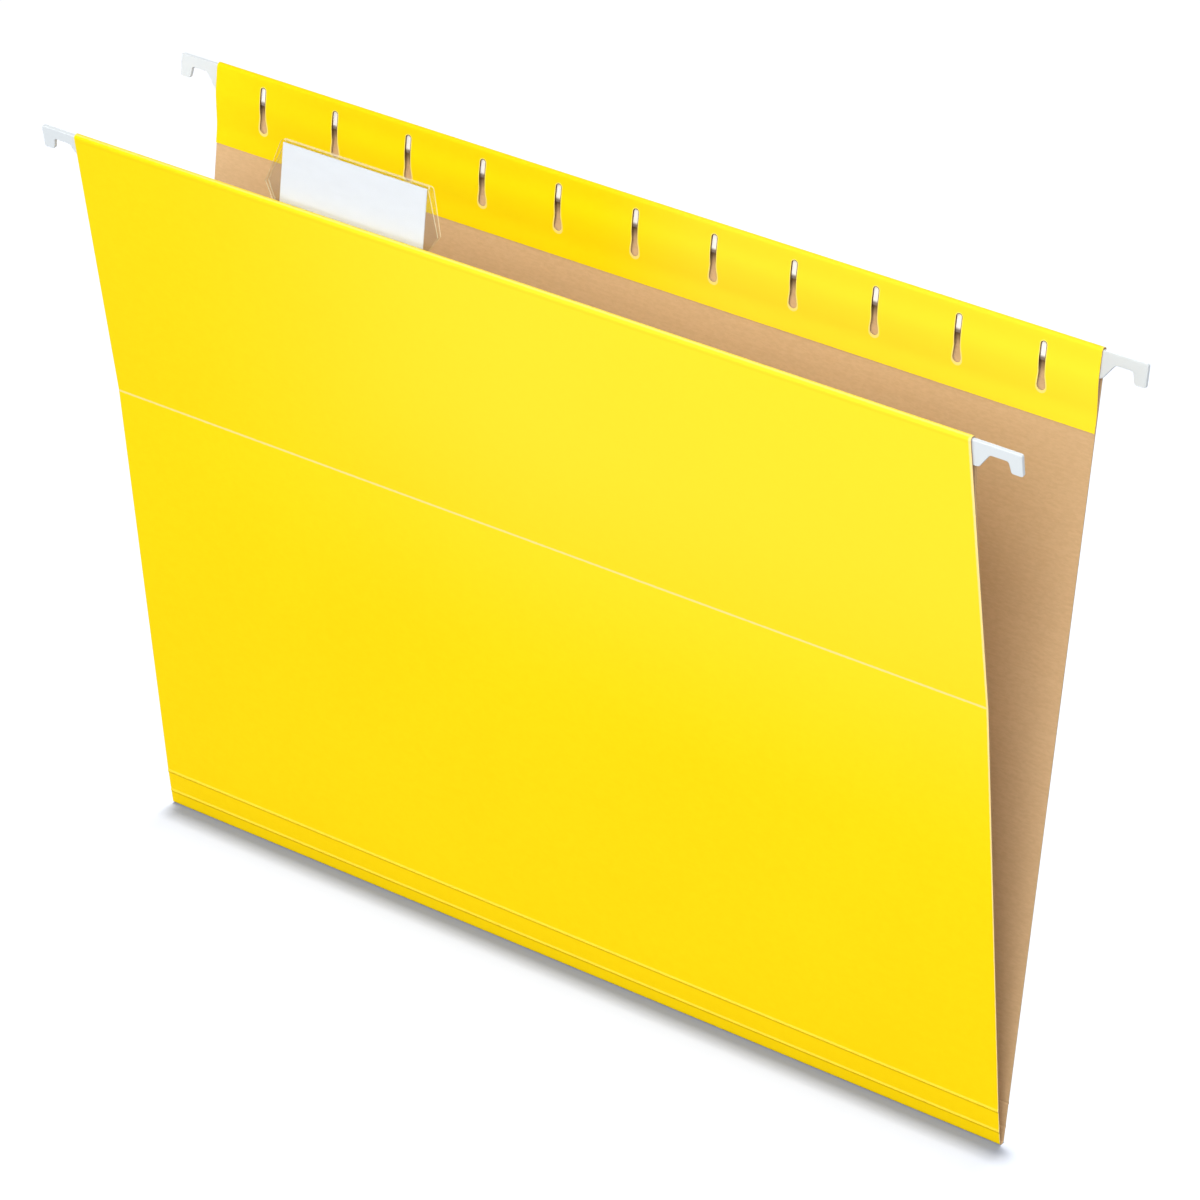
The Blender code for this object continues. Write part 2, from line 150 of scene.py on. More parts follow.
# Coating of the rods: painted lighter inside the hem, with painted shade at a rod's foot there.
COATING_PEEL = Grain((420,) * 3, 2)
COATING_SCUFF = Grain((90, 700, 700), 3)
COATING_SKIN = Skin(0.3, 0.15, 0.4, 0.00002, 0.5)
SCUFF_EDGE = (0.62, 0.78)
SCUFF_SHARE = 0.5
SCUFF_SHADE = 0.9
# Painted shade at a rod's foot inside the hem.
ROD_FOOT_SHADE = Mark(0.0008, 0.0018, 0.85)

# Clear plastic: painted highlights on its rims, which face along the rods, and on its crest, the top fold
# but for the front.
PLASTIC_HAZE = Grain((160, 160, 500), 3)
PLASTIC_ROUGH = (0.05, 0.13)
PLASTIC_ALPHA = (0.08, 0.11)
PLASTIC_IOR = 1.5
RIM_TURN = (0.5, 0.8)
RIM_ALPHA = 0.6
CREST_TURN = (-0.35, -0.1)
CREST_RISE = (0.3, 0.5)
CREST_ALPHA = 0.35

# Paper insert.
PAPER_GRAIN = Grain((900,) * 3, 4, 0.65)
PAPER_CLOUD = Grain((120,) * 3, 2)
PAPER_SKIN = Skin(0.6, 0.2, 0.25, 0.00002, 0.6)
PAPER_SHADE = 0.95

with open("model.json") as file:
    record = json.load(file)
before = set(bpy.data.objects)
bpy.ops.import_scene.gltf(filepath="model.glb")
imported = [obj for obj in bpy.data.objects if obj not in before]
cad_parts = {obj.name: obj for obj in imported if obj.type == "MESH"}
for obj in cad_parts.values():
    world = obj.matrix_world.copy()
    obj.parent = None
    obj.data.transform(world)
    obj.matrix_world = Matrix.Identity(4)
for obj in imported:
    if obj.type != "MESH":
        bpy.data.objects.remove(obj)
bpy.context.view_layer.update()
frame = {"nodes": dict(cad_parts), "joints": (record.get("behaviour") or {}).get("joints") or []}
crease = {
    joint["name"]: Vector(joint["pos_m"]) for joint in frame["joints"] if joint["type"] == "hinge"
}


def made(kind, **options):
    """A maker of such properties from a name, a description and a default."""
    def build(name, description, default):
        return kind(name=name, description=description, default=default, **options)

    return build


amount = made(FloatProperty)
fraction = made(FloatProperty, subtype="FACTOR")
length = made(FloatProperty, unit="LENGTH")
focal = made(FloatProperty, unit="CAMERA")
power = made(FloatProperty, unit="POWER")
angle = made(FloatProperty, subtype="ANGLE")
facets = made(IntProperty, min=4)
pair = made(FloatVectorProperty, size=2, unit="LENGTH")
point = made(FloatVectorProperty, subtype="TRANSLATION", unit="LENGTH")
colour = made(FloatVectorProperty, subtype="COLOR", size=3, min=0.0, max=1.0)


class BoardSizes(bpy.types.PropertyGroup):
    """Sizes of the folded sheet of board."""

    width: length("Width", "Width of the sheet along the rods", 0.29845)
    thickness: length("Thickness", "Thickness of the board", 0.0003)
    leaf_height: length("Leaf height", "From the bottom crease to the top fold", 0.23495)
    mid_score: length("Middle score", "Height of the score across the front", 0.14825)
    box_score: length("Box score", "Height of the upper bottom score", 0.0123)
    inner_score: length("Inner score", "Height of the lower bottom score", 0.00495)
    mid_bend: angle("Middle bend", "Bend at the middle score", math.radians(3.2))
    crease_reach: length("Crease reach", "Board on each side of a score that bends", 0.0009)
    bead_width: length("Bead width", "Width of the raised bead of a score", 0.0012)
    bead_height: length("Bead height", "Rise of the bead of a score", 0.00018)
    fold_reach: length("Fold reach", "Height at which the bottom fold's piece ends", 0.0015)
    fold_steps: facets("Fold steps", "Facets of the round bottom fold", 14)


class HemSizes(bpy.types.PropertyGroup):
    """Sizes of the hem over a rod and of its keyhole slots."""

    depth: length("Depth", "From the top fold to the flap's cut edge", 0.0244)
    glue_band: length("Glue band", "Height of the flap's glued edge", 0.0053)
    glue_gap: length("Glue gap", "Glue between the flap and the leaf", 0.00002)
    swell: length("Thickness", "Thickness of the hem over its rod", 0.0022)
    flap_bend: length("Flap bend", "Depth at which the flap turns towards the leaf", 0.008871)
    bend_spread: length("Bend spread", "Height over which the flap's bend is spread", 0.004)
    bend_steps: facets("Bend steps", "Facets of each soft bend", 6)
    fold_steps: facets("Fold steps", "Facets of the round top fold", 14)
    slot_pitch: length("Slot pitch", "Distance between slots", 0.02636)
    slot_margin: length("Slot margin", "Least distance from a slot to the sheet's side", 0.0135)
    slot_top: length("Slot top", "Depth of the slot's upper end", 0.0032)
    slot_length: length("Slot length", "Length of a slot", 0.014)
    slot_neck: length("Slot neck", "Width of the slot's neck", 0.0017)
    slot_bulb: length("Slot bulb", "Width of the slot's round foot", 0.0027)
    slot_flare: length("Slot flare", "Height over which the neck widens", 0.004)


class FolderColours(bpy.types.PropertyGroup):
    """Colours of the folder's finishes."""

    yellow: colour("Yellow", "Dyed outer face of the board", (0.95, 0.672, 0.003))
    yellow_deep: colour("Deep yellow", "Where the dye lies thicker", (0.93, 0.635, 0.002))
    # Painted light and sheen on the leaves, paler upwards and to one side.
    yellow_pale: colour("Pale yellow", "Where light has faded the dye", (0.97, 0.71, 0.034))
    # Painted light on the flap below its top fold, with sheen towards one side.
    yellow_light: colour("Light yellow", "Thinner dye on the flap", (0.98, 0.83, 0.034))
    yellow_bright: colour(
        "Bright yellow", "Thinner dye on the flap where light has not faded it", (0.98, 0.83, 0.003)
    )
    # Also the painted highlights along the scores and the front's top fold.
    rubbed: colour(
        "Rubbed yellow", "Pale fibres where the face is rubbed or bent", (0.97, 0.71, 0.28)
    )
    # Painted shade below the bottom scores' beads and at the top folds.
    pressed: colour(
        "Pressed yellow", "Where the face is pressed in beside a score", (0.6, 0.4, 0.004)
    )
    slot_halo: colour("Slot halo", "Bared fibres round a punched slot", (0.98, 0.86, 0.4))
    # Also painted shade: with the burr in the slots' necks, in the rod's pocket and at a rod's foot in the
    # hem.
    punched: colour("Punched edge", "Dark burr of a punched slot", (0.1, 0.045, 0.015))
    kraft: colour("Kraft", "Plain inner face of the board", (0.68, 0.465, 0.255))
    # Also the painted shade towards one side of the inner face.
    kraft_dark: colour(
        "Dark kraft", "Laid streaks and flecks in the inner face", (0.57, 0.375, 0.195)
    )
    cut_edge: colour("Cut edge", "Bare fibres of a cut edge", (0.46, 0.31, 0.16))
    coating: colour("Coating", "White coating of the rods", (0.62, 0.66, 0.68))
    # Painted light: the coating is lighter inside the hem.
    coating_painted_light: colour(
        "Clean coating", "Coating that the hem has kept clean", (0.92, 0.93, 0.93)
    )
    plastic: colour("Plastic", "Tint of the clear tab", (0.06, 0.04, 0.01))
    # Painted highlight in the tab's rims and along its top fold.
    plastic_highlight: colour("Plastic edge", "Light caught in the tab's cut edges", (0.97, 0.9, 0.6))
    paper: colour("Paper", "Blank insert", (0.769, 0.81, 0.86))
    floor: colour("Floor", "Plain floor", (0.265, 0.271, 0.285))
    floor_glow: colour("Floor glow", "Light that the floor itself shows", (0.155, 0.185, 0.25))


class StageSizes(bpy.types.PropertyGroup):
    """Camera, floor and lamps."""

    azimuth: angle("Azimuth", "Camera's turn from the front", math.radians(36.481))
    elevation: angle("Elevation", "Camera's height angle", math.radians(29.426))
    roll: angle("Roll", "Camera's turn about its view", math.radians(0.389))
    distance: length("Distance", "Camera to its target", 1.530626)
    target: point("Target", "Point at the middle of the picture", (0.010429, 0.0, 0.12461))
    lens: focal("Lens", "Focal length in millimetres", 165.666)
    floor_size: length("Floor", "Side of the floor", 8.0)
    floor_fade: pair(
        "Floor fade", "Distances over which the floor turns into the white backdrop", (0.45, 0.9)
    )
    floor_bounce: fraction(
        "Floor bounce", "Share of the floor's light that falls back on the folder", 0.45
    )
    ambient: amount("Ambient", "Strength of the light from all round", 0.66)
    key: power("Key", "Power of the front lamp", 15.0)
    key_place: point("Key place", "Where the front lamp stands", (0.45, -0.94, 0.99))
    key_size: pair("Key size", "Sides of the front lamp", (0.8, 0.8))
    top: power("Top", "Power of the overhead lamp", 4.0)
    top_place: point("Top place", "Where the overhead lamp hangs", (0.0, -0.5, 2.4))
    top_size: pair("Top size", "Sides of the overhead lamp", (1.2, 0.8))
    fill: power("Fill", "Power of the low front lamp", 4.5)
    fill_place: point("Fill place", "Where the low front lamp stands", (-0.5, -1.25, 0.15))
    fill_size: pair("Fill size", "Sides of the low front lamp", (1.0, 0.3))
    back: power("Back", "Power of the low lamp behind", 9.0)
    back_place: point("Back place", "Where the low lamp behind stands", (-0.2, 1.3, 0.3))
    back_size: pair("Back size", "Sides of the low lamp behind", (1.0, 0.5))
    floor_lamp: power("Floor lamp", "Power of the lamp that lights the floor", 7680.0)
    floor_lamp_place: point(
        "Floor lamp place", "Where the floor's lamp hangs", (-0.3, -2.16, 20.0)
    )
    floor_lamp_size: pair("Floor lamp size", "Sides of the floor's lamp", (0.56, 0.56))
    floor_soft: power("Soft floor lamp", "Power of the lamp that softens the shadow", 3200.0)
    floor_soft_place: point(
        "Soft floor lamp place", "Where the softening lamp hangs", (-0.3, -1.56, 20.0)
    )
    floor_soft_size: pair("Soft floor lamp size", "Sides of the softening lamp", (0.56, 1.88))


def settings():
    return bpy.context.scene.folder_board, bpy.context.scene.folder_hem


def colours():
    return bpy.context.scene.folder_colours


class Value:
    """A number from a socket, so that shader maths reads as a Python expression."""

    def __init__(self, tree, socket):
        self.tree = tree
        self.socket = socket

    def maths(self, operation, first, second=None):
        node = self.tree.nodes.new("ShaderNodeMath")
        node.operation = operation
        for slot, item in zip(node.inputs, (first, second)):
            if isinstance(item, Value):
                self.tree.links.new(item.socket, slot)
            elif item is not None:
                slot.default_value = item
        return Value(self.tree, node.outputs[0])

    def __add__(self, other):
        return self.maths("ADD", self, other)

    def __radd__(self, other):
        return self.maths("ADD", other, self)

    def __sub__(self, other):
        return self.maths("SUBTRACT", self, other)

    def __rsub__(self, other):
        return self.maths("SUBTRACT", other, self)

    def __mul__(self, other):
        return self.maths("MULTIPLY", self, other)

    def __rmul__(self, other):
        return self.maths("MULTIPLY", other, self)

    def __truediv__(self, other):
        return self.maths("DIVIDE", self, other)

    def __rtruediv__(self, other):
        return self.maths("DIVIDE", other, self)

    def __abs__(self):
        return self.maths("ABSOLUTE", self)

    def at_least(self, other):
        return self.maths("MAXIMUM", self, other)

    def repeat(self, pitch):
        """Distance to the nearest multiple of the pitch, with its sign."""
        shifted = self.maths("FLOORED_MODULO", self + pitch / 2, pitch)
        return shifted - pitch / 2

    def hypot(self, other):
        return self.maths("SQRT", self * self + other * other)


class Finish:
    """The nodes of a procedural material, or of the world."""

    def __init__(self, owner):
        owner.use_nodes = True
        self.owner = owner
        self.tree = owner.node_tree
        self.tree.nodes.clear()

    def node(self, kind, options=None, inputs=None, output=0):
        """Add a node: its options, then its sockets' values or links, and give one output."""
        node = self.tree.nodes.new(kind)
        for key, item in (options or {}).items():
            setattr(node, key, item)
        for key, item in (inputs or {}).items():
            slot = self.find(node.inputs, key)
            if isinstance(item, Value):
                self.tree.links.new(item.socket, slot)
            else:
                slot.default_value = item
        return Value(self.tree, self.find(node.outputs, output)) if node.outputs else None

    @staticmethod
    def find(sockets, key):
        """A socket by its number, its identifier or else its name."""
        if isinstance(key, int):
            return sockets[key]
        for socket in sockets:
            if socket.identifier == key:
                return socket
        return sockets[key]

    def place(self):
        """Object coordinates, in metres."""
        return self.node("ShaderNodeTexCoord", output="Object")

    def parts(self, vector):
        node = self.node("ShaderNodeSeparateXYZ", inputs={"Vector": vector}).socket.node
        return [Value(self.tree, socket) for socket in node.outputs]

    def lay(self):
        """Place on the flat sheet: across it, and along it from its bottom fold, rear negative."""
        across, along, _ = self.parts(self.node("ShaderNodeUVMap", {"uv_map": LAY}))
        return across, along

    def noise(self, place, grain):
        stretched = self.node("ShaderNodeMapping", inputs={"Vector": place, "Scale": grain.cells})
        kind = {"Scale": 1.0, "Detail": grain.detail, "Roughness": grain.roughness}
        return self.node("ShaderNodeTexNoise", inputs={"Vector": stretched, **kind})

    def ease(self, value, start, end):
        """Smooth step from 0 at the start to 1 at the end."""
        return self.node(
            "ShaderNodeMapRange",
            {"interpolation_type": "SMOOTHSTEP", "clamp": True},
            {"Value": value, "From Min": start, "From Max": end, "To Min": 0.0, "To Max": 1.0},
        )

    def mix(self, factor, first, second):
        return self.node(
            "ShaderNodeMix",
            {"data_type": "RGBA", "clamp_factor": True},
            {"Factor_Float": factor, "A_Color": shade(first), "B_Color": shade(second)},
            "Result_Color",
        )

    def matt(self, tint, skin, grain, relief):
        """Opaque surface: a grain varies its roughness, and a relief stands up from it."""
        raised = {"Height": relief, "Distance": skin.height, "Strength": skin.strength}
        return self.surface(
            {
                "Base Color": tint,
                "Roughness": skin.rough + skin.spread * grain,
                "Specular IOR Level": skin.specular,
                "Normal": self.node("ShaderNodeBump", inputs=raised),
            }
        )

    def surface(self, inputs):
        """Principled surface, put on the material's output."""
        return self.output(self.node("ShaderNodeBsdfPrincipled", inputs=inputs))

    def output(self, shader):
        self.node("ShaderNodeOutputMaterial", inputs={"Surface": shader})
        return self.owner


def shade(item):
    """A linked colour as it is, or a plain colour with its alpha."""
    if isinstance(item, Value) or len(item) == 4:
        return item
    return (*item, 1.0)


def dimmed(paint, share):
    return tuple(channel * share for channel in paint)


def between(ends, share):
    """From the first of two numbers to the second, by a share."""
    return ends[0] + (ends[1] - ends[0]) * share


def weighed(weights, *grains):
    """Sum of the grains, each times its weight."""
    total = grains[0] * weights[0]
    for weight, grain in zip(weights[1:], grains[1:]):
        total = total + grain * weight
    return total


def drawn(finish, distance, mark):
    """A mark along a line, by the distance from it."""
    return (1.0 - finish.ease(distance, mark.solid, mark.soft)) * mark.share


def on_flap(finish, along):
    """0 on the leaf, easing to 1 over the top fold."""
    return finish.ease(along, *flap_runs()[:2])


def on_beads(finish, along, shift, mark):
    """A mark along both bottom scores, beside their crests by a share of the bead's width."""
    board, _ = settings()
    lines = [
        drawn(finish, abs(along - run - board.bead_width * shift), mark)
        for run in (board.box_score, board.inner_score)
    ]
    return lines[0].at_least(lines[1])


def slotted_width(finish, across):
    """1 over the width that has slots, easing to 0 beside the last of them."""
    board, hem = settings()
    half = board.width / 2
    return drawn(finish, abs(across), Mark(half - hem.slot_margin, half - hem.slot_margin / 2))


def slot_distance(finish, across, along):
    """Distance to the edge of the nearest slot in the flap."""
    _, hem = settings()
    top, bottom = slot_runs()
    neck = hem.slot_neck / 2
    bulb = hem.slot_bulb / 2
    beyond = abs(along - (top + bottom) / 2) - ((bottom - top) / 2 - neck)
    widening = finish.ease(along, bottom - bulb - hem.slot_flare, bottom - bulb)
    reach = neck + widening * (bulb - neck)
    return across.repeat(hem.slot_pitch).hypot(beyond.at_least(0.0)) - reach


def punch_shade(finish, along):
    """How strong the burr and painted shade of a slot's edge are: dark at its neck, plain at its foot."""
    _, hem = settings()
    top, bottom = slot_runs()
    return drawn(finish, along, Mark(between((top, bottom), BURR_FADE), bottom - hem.slot_bulb))


def wear_and_highlight_places(finish, ragged, across, along, front):
    """Where the yellow is pale: wear along the worn side, and painted highlights on the bottom scores and on
    the front's middle score and top fold.
    """
    board, _ = settings()
    start, end = flap_runs()[:2]
    height = finish.ease(along, 0.0, board.leaf_height)
    side = (board.width / 2 - across + ragged) / (LEAST_SIDE_WEAR + height)
    worn_side = drawn(finish, side, WORN_SIDE) * (1.0 - on_flap(finish, along))
    middle = drawn(finish, abs(along - board.mid_score) + ragged, MIDDLE_HIGHLIGHT)
    crest_run = between((start, end), CREST_PLACE)
    crest = drawn(finish, abs(along - crest_run) + ragged, CREST_HIGHLIGHT)
    beads = on_beads(finish, along, BEAD_HIGHLIGHT_SHIFT, BEAD_HIGHLIGHT)
    return worn_side.at_least(beads).at_least(middle.at_least(crest) * front)


def painted_shade_places(finish, along, front):
    """Where the yellow has painted shade: below the bottom scores' beads, under the front's top fold and on
    the rear's top fold.
    """
    start, end = flap_runs()[:2]
    shoulder = drawn(finish, abs(along - start), SHOULDER_SHADE)
    top = drawn(finish, abs(along - (start + end) / 2) / (end - start), FOLD_SHADE)
    folds = shoulder * front + top * (1.0 - front)
    return on_beads(finish, along, BEAD_SHADE_SHIFT, BEAD_SHADE).at_least(folds)


def dye_with_painted_light(finish, dyed, across, along):
    """The dye with painted light and sheen: paler upwards and to one side, and lighter on the flap below its
    top fold, less so at its glued band.
    """
    board, hem = settings()
    paint = colours()
    _, end, bend, glue, _ = flap_runs()
    share = across / board.width
    flap = on_flap(finish, along)
    leaf_sheen = between(SHEEN_SHARE, finish.ease(share, *LEAF_SHEEN))
    flap_sheen = finish.ease(share, *FLAP_SHEEN)
    lightened = leaf_sheen * (1.0 - flap) + flap_sheen * flap * SHEEN_SHARE[1]
    upper = finish.ease(along / board.mid_score, *UPPER_SHEEN)
    sheened = finish.mix(upper * lightened, dyed, paint.yellow_pale)
    slope = finish.ease(along, end, bend + hem.bend_spread / 2)
    unglued = 1.0 - GLUED_LOSS * finish.ease(along, bend, glue)
    flap_light_share = slope * unglued * between(SHEEN_SHARE, finish.ease(share, *FLAP_LIGHT_ACROSS))
    flap_light_tint = finish.mix(flap_sheen, paint.yellow_bright, paint.yellow_light)
    return finish.mix(flap_light_share, sheened, flap_light_tint)


def make_yellow():
    finish = Finish(bpy.data.materials.new("yellow_face"))
    paint = colours()
    place = finish.place()
    across, sheet_run = finish.lay()
    along = abs(sheet_run)
    front = finish.ease(sheet_run, -TINY, TINY)
    cloud = finish.noise(place, YELLOW_CLOUD)
    mottle = finish.noise(place, YELLOW_MOTTLE)
    fibre = finish.noise(place, YELLOW_FIBRE)
    ragged = (finish.noise(place, YELLOW_RAGGED) - 0.5) * RAGGEDNESS
    depth = finish.ease(weighed(DYE_WEIGHTS, cloud, mottle, fibre), *DYE_DEPTH)
    dyed = finish.mix(depth, paint.yellow, paint.yellow_deep)
    # Painted light and sheen on the dye.
    face = dye_with_painted_light(finish, dyed, across, along)
    # Wear along the side, and painted highlights along the scores and the front's top fold.
    worn = wear_and_highlight_places(finish, ragged, across, along, front)
    rubbed = finish.mix(worn, face, paint.rubbed)
    # Painted shade below the beads and at the top folds.
    painted_shade = painted_shade_places(finish, along, front) * PAINTED_SHADE_DEPTH
    pressed = finish.mix(painted_shade, rubbed, paint.pressed)
    slot = slot_distance(finish, across, along)
    haloed = finish.mix(drawn(finish, slot, SLOT_HALO), pressed, paint.slot_halo)
    # Burr and painted shade round the slots' necks.
    burr = drawn(finish, slot, SLOT_BURR_SHADE) * punch_shade(finish, along)
    punched = finish.mix(burr, haloed, paint.punched)
    return finish.matt(punched, YELLOW_SKIN, mottle, weighed(TWO_GRAINS, fibre, mottle))


def make_kraft():
    """Inner face: laid streaks and flecks, with painted shade towards one side and higher up, and in the
    rod's pocket.
    """
    finish = Finish(bpy.data.materials.new("kraft_face"))
    paint = colours()
    board, hem = settings()
    place = finish.place()
    across, sheet_run = finish.lay()
    along = abs(sheet_run)
    laid = finish.noise(place, KRAFT_LAID)
    fibre = finish.noise(place, KRAFT_FIBRE)
    cloud = finish.noise(place, KRAFT_CLOUD)
    streak = finish.ease(weighed(STREAK_WEIGHTS, laid, fibre, cloud), *STREAK_EDGE)
    higher = finish.ease(along / board.leaf_height, *SIDE_SHADE_UPWARDS)
    # Painted shade towards one side, more of it higher up.
    painted_side_shade = finish.ease(across / board.width, *SIDE_SHADE_ACROSS) * between(SIDE_SHADE_SHARE, higher)
    streaks_and_shade = finish.mix(streak * STREAK_SHADE + painted_side_shade, paint.kraft, paint.kraft_dark)
    fleck = finish.ease(finish.noise(place, KRAFT_FLECK), *FLECK_EDGE)
    flecked = finish.mix(fleck * FLECK_SHADE, streaks_and_shade, paint.kraft_dark)
    rod_foot = board.leaf_height - hem.flap_bend
    # Painted shade in the rod's pocket, over the width that has slots.
    pocket = finish.ease(along, *(rod_foot - drop for drop in POCKET_EDGE))
    unlit = pocket * slotted_width(finish, across) * POCKET_SHADE
    shaded = finish.mix(unlit, flecked, paint.punched)
    return finish.matt(shaded, KRAFT_SKIN, fibre, weighed(TWO_GRAINS, fibre, laid))


def make_cut_edge():
    """Bare fibres, browner on the flap, with burr and painted shade in the slots' necks."""
    finish = Finish(bpy.data.materials.new("bare_edge"))
    paint = colours()
    across, sheet_run = finish.lay()
    along = abs(sheet_run)
    fibre = finish.noise(finish.place(), EDGE_FIBRE)
    bare = finish.mix(fibre * EDGE_STREAK, paint.cut_edge, paint.kraft)
    brown = finish.mix(on_flap(finish, along), bare, paint.kraft_dark)
    # Burr and painted shade on the walls of the slots' necks.
    slot_wall_shade = drawn(finish, slot_distance(finish, across, along), SLOT_WALL_SHADE)
    punched = finish.mix(slot_wall_shade * punch_shade(finish, along), brown, paint.punched)
    return finish.matt(punched, EDGE_SKIN, fibre, fibre)


def make_coating(name, low):
    """White coating of a rod whose lower edge is at that height, painted lighter inside the hem, with
    painted shade at its foot there.
    """
    finish = Finish(bpy.data.materials.new(name))
    paint = colours()
    place = finish.place()
    across, _, height = finish.parts(place)
    peel = finish.noise(place, COATING_PEEL)
    scuff = finish.ease(finish.noise(place, COATING_SCUFF), *SCUFF_EDGE)
    in_hem = slotted_width(finish, across)
    worn = finish.mix(scuff * SCUFF_SHARE, paint.coating, dimmed(paint.coating, SCUFF_SHADE))
    # Painted light: the coating is lighter inside the hem.
    coat = finish.mix(in_hem, worn, paint.coating_painted_light)
    # Painted shade at the rod's foot inside the hem.
    foot = drawn(finish, height - low, ROD_FOOT_SHADE) * in_hem
    return finish.matt(finish.mix(foot, coat, paint.punched), COATING_SKIN, peel, peel)


def make_plastic():
    """Clear sheet with painted highlights in its cut rims and along its top fold."""
    finish = Finish(bpy.data.materials.new("clear_sheet"))
    paint = colours()
    haze = finish.noise(finish.place(), PLASTIC_HAZE)
    normal = finish.node("ShaderNodeNewGeometry", output="True Normal")
    turned = {"vector_type": "NORMAL", "convert_from": "WORLD", "convert_to": "OBJECT"}
    facing = finish.parts(finish.node("ShaderNodeVectorTransform", turned, {"Vector": normal}))
    # Painted highlights on the rims, and on the top fold but for the front.
    rim = finish.ease(abs(facing[0]), *RIM_TURN)
    crest = finish.ease(facing[1], *CREST_TURN) * finish.ease(facing[2], *CREST_RISE)
    clear = between(PLASTIC_ALPHA, haze)
    return finish.surface(
        {
            "Base Color": finish.mix(rim.at_least(crest), paint.plastic, paint.plastic_highlight),
            "Roughness": between(PLASTIC_ROUGH, haze),
            "IOR": PLASTIC_IOR,
            "Alpha": clear.at_least(rim * RIM_ALPHA).at_least(crest * CREST_ALPHA),
        }
    )


def make_paper():
    finish = Finish(bpy.data.materials.new("insert_card"))
    paint = colours()
    place = finish.place()
    grain = finish.noise(place, PAPER_GRAIN)
    cloud = finish.noise(place, PAPER_CLOUD)
    shadow = dimmed(paint.paper, PAPER_SHADE)
    tint = finish.mix(weighed(TWO_GRAINS, grain, cloud), paint.paper, shadow)
    return finish.matt(tint, PAPER_SKIN, grain, grain)


def finish_of(name, maker):
    """The finish of that name, made the first time that it is asked for."""
    return bpy.data.materials.get(name) or maker()


def board_finishes():
    return [
        finish_of("yellow_face", make_yellow),
        finish_of("kraft_face", make_kraft),
        finish_of("bare_edge", make_cut_edge),
    ]


def flap_step():
    """How far the flap comes back towards the leaf below its bend."""
    board, hem = settings()
    return hem.swell - 2 * board.thickness - hem.glue_gap


def flap_runs():
    """Runs where the hem's fold starts and ends, and its flap bends, is glued and stops."""
    board, hem = settings()
    radius = hem.swell / 2 - board.thickness / 2
    drop = hem.depth - hem.glue_band - hem.flap_bend
    start = board.leaf_height - hem.swell / 2
    end = start + math.pi * radius
    bend = end + hem.flap_bend - hem.swell / 2
    glue = bend + math.hypot(drop, flap_step())
    return start, end, bend, glue, glue + hem.glue_band


def slot_runs():
    """Runs along the sheet of a slot's upper and lower end."""
    _, hem = settings()
    end = flap_runs()[1]
    top = end + hem.slot_top - hem.swell / 2
    return top, top + hem.slot_length


def lay_flat(low, high):
    """Flat stretch of board between two runs, with its outer face towards -Y."""
    mesh = bmesh.new()
    add_stretch(mesh, low, high)
    return mesh


def add_stretch(mesh, low, high):
    board, _ = settings()
    place = Matrix.Translation((0, 0, (low + high) / 2)) @ UPRIGHT
    size = Matrix.Diagonal((board.width, high - low, 1.0, 1.0))
    bmesh.ops.create_grid(mesh, x_segments=1, y_segments=1, size=0.5, matrix=place @ size)


def lay_punched(low, high):
    """Flat stretch with the keyhole slots cut through it."""
    board, hem = settings()
    mesh = bmesh.new()
    add_keyhole(mesh)
    first = mesh.verts[:] + mesh.edges[:]
    each_side = math.floor((board.width / 2 - hem.slot_margin) / hem.slot_pitch)
    for number in range(1, each_side + 1):
        for side in (-1, 1):
            copied = bmesh.ops.duplicate(mesh, geom=first)["geom"]
            moved = [item for item in copied if isinstance(item, bmesh.types.BMVert)]
            away = (side * number * hem.slot_pitch, 0, 0)
            bmesh.ops.translate(mesh, vec=away, verts=moved)
    add_stretch(mesh, low, high)
    bmesh.ops.delete(mesh, geom=mesh.faces[:], context="FACES_ONLY")
    bmesh.ops.triangle_fill(
        mesh, edges=mesh.edges[:], use_beauty=True, use_dissolve=False, normal=(0, -1, 0)
    )
    turned = [face for face in mesh.faces if face.normal.y > 0]
    bmesh.ops.reverse_faces(mesh, faces=turned)
    return mesh


def add_keyhole(mesh):
    """Outline of a slot: a circle drawn out into a narrower neck with a round end."""
    _, hem = settings()
    top, bottom = slot_runs()
    bulb = hem.slot_bulb / 2
    neck = hem.slot_neck / 2
    circle = bmesh.ops.create_circle(mesh, segments=SLOT_SEGMENTS, radius=bulb, matrix=UPRIGHT)
    ring = circle["verts"]
    head = [vert for vert in ring if vert.co.z < -TINY]
    foot = [vert for vert in ring if vert.co.z >= -TINY]
    bmesh.ops.scale(mesh, vec=(neck / bulb, 1.0, neck / bulb), verts=head)
    bmesh.ops.translate(mesh, vec=(0, 0, top + neck), verts=head)
    bmesh.ops.translate(mesh, vec=(0, 0, bottom - bulb), verts=foot)
    sides = [edge for edge in mesh.edges if edge.calc_length() > hem.slot_length / 2]
    split = bmesh.ops.subdivide_edges(mesh, edges=sides, cuts=NECK_CUTS)
    for vert in [item for item in split["geom_inner"] if isinstance(item, bmesh.types.BMVert)]:
        share = min(1.0, (bottom - bulb - vert.co.z) / hem.slot_flare)
        eased = share * share * (3 - 2 * share)
        half = between((bulb, neck), eased)
        bmesh.ops.scale(mesh, vec=(half / abs(vert.co.x), 1.0, 1.0), verts=[vert])


def mark_lines(mesh, runs):
    """Cut the flat stretch along the lines where it will be bent or pressed."""
    for run in runs:
        geometry = mesh.verts[:] + mesh.edges[:] + mesh.faces[:]
        bmesh.ops.bisect_plane(
            mesh, geom=geometry, dist=TINY, plane_co=(0, 0, run), plane_no=(0, 0, 1)
        )


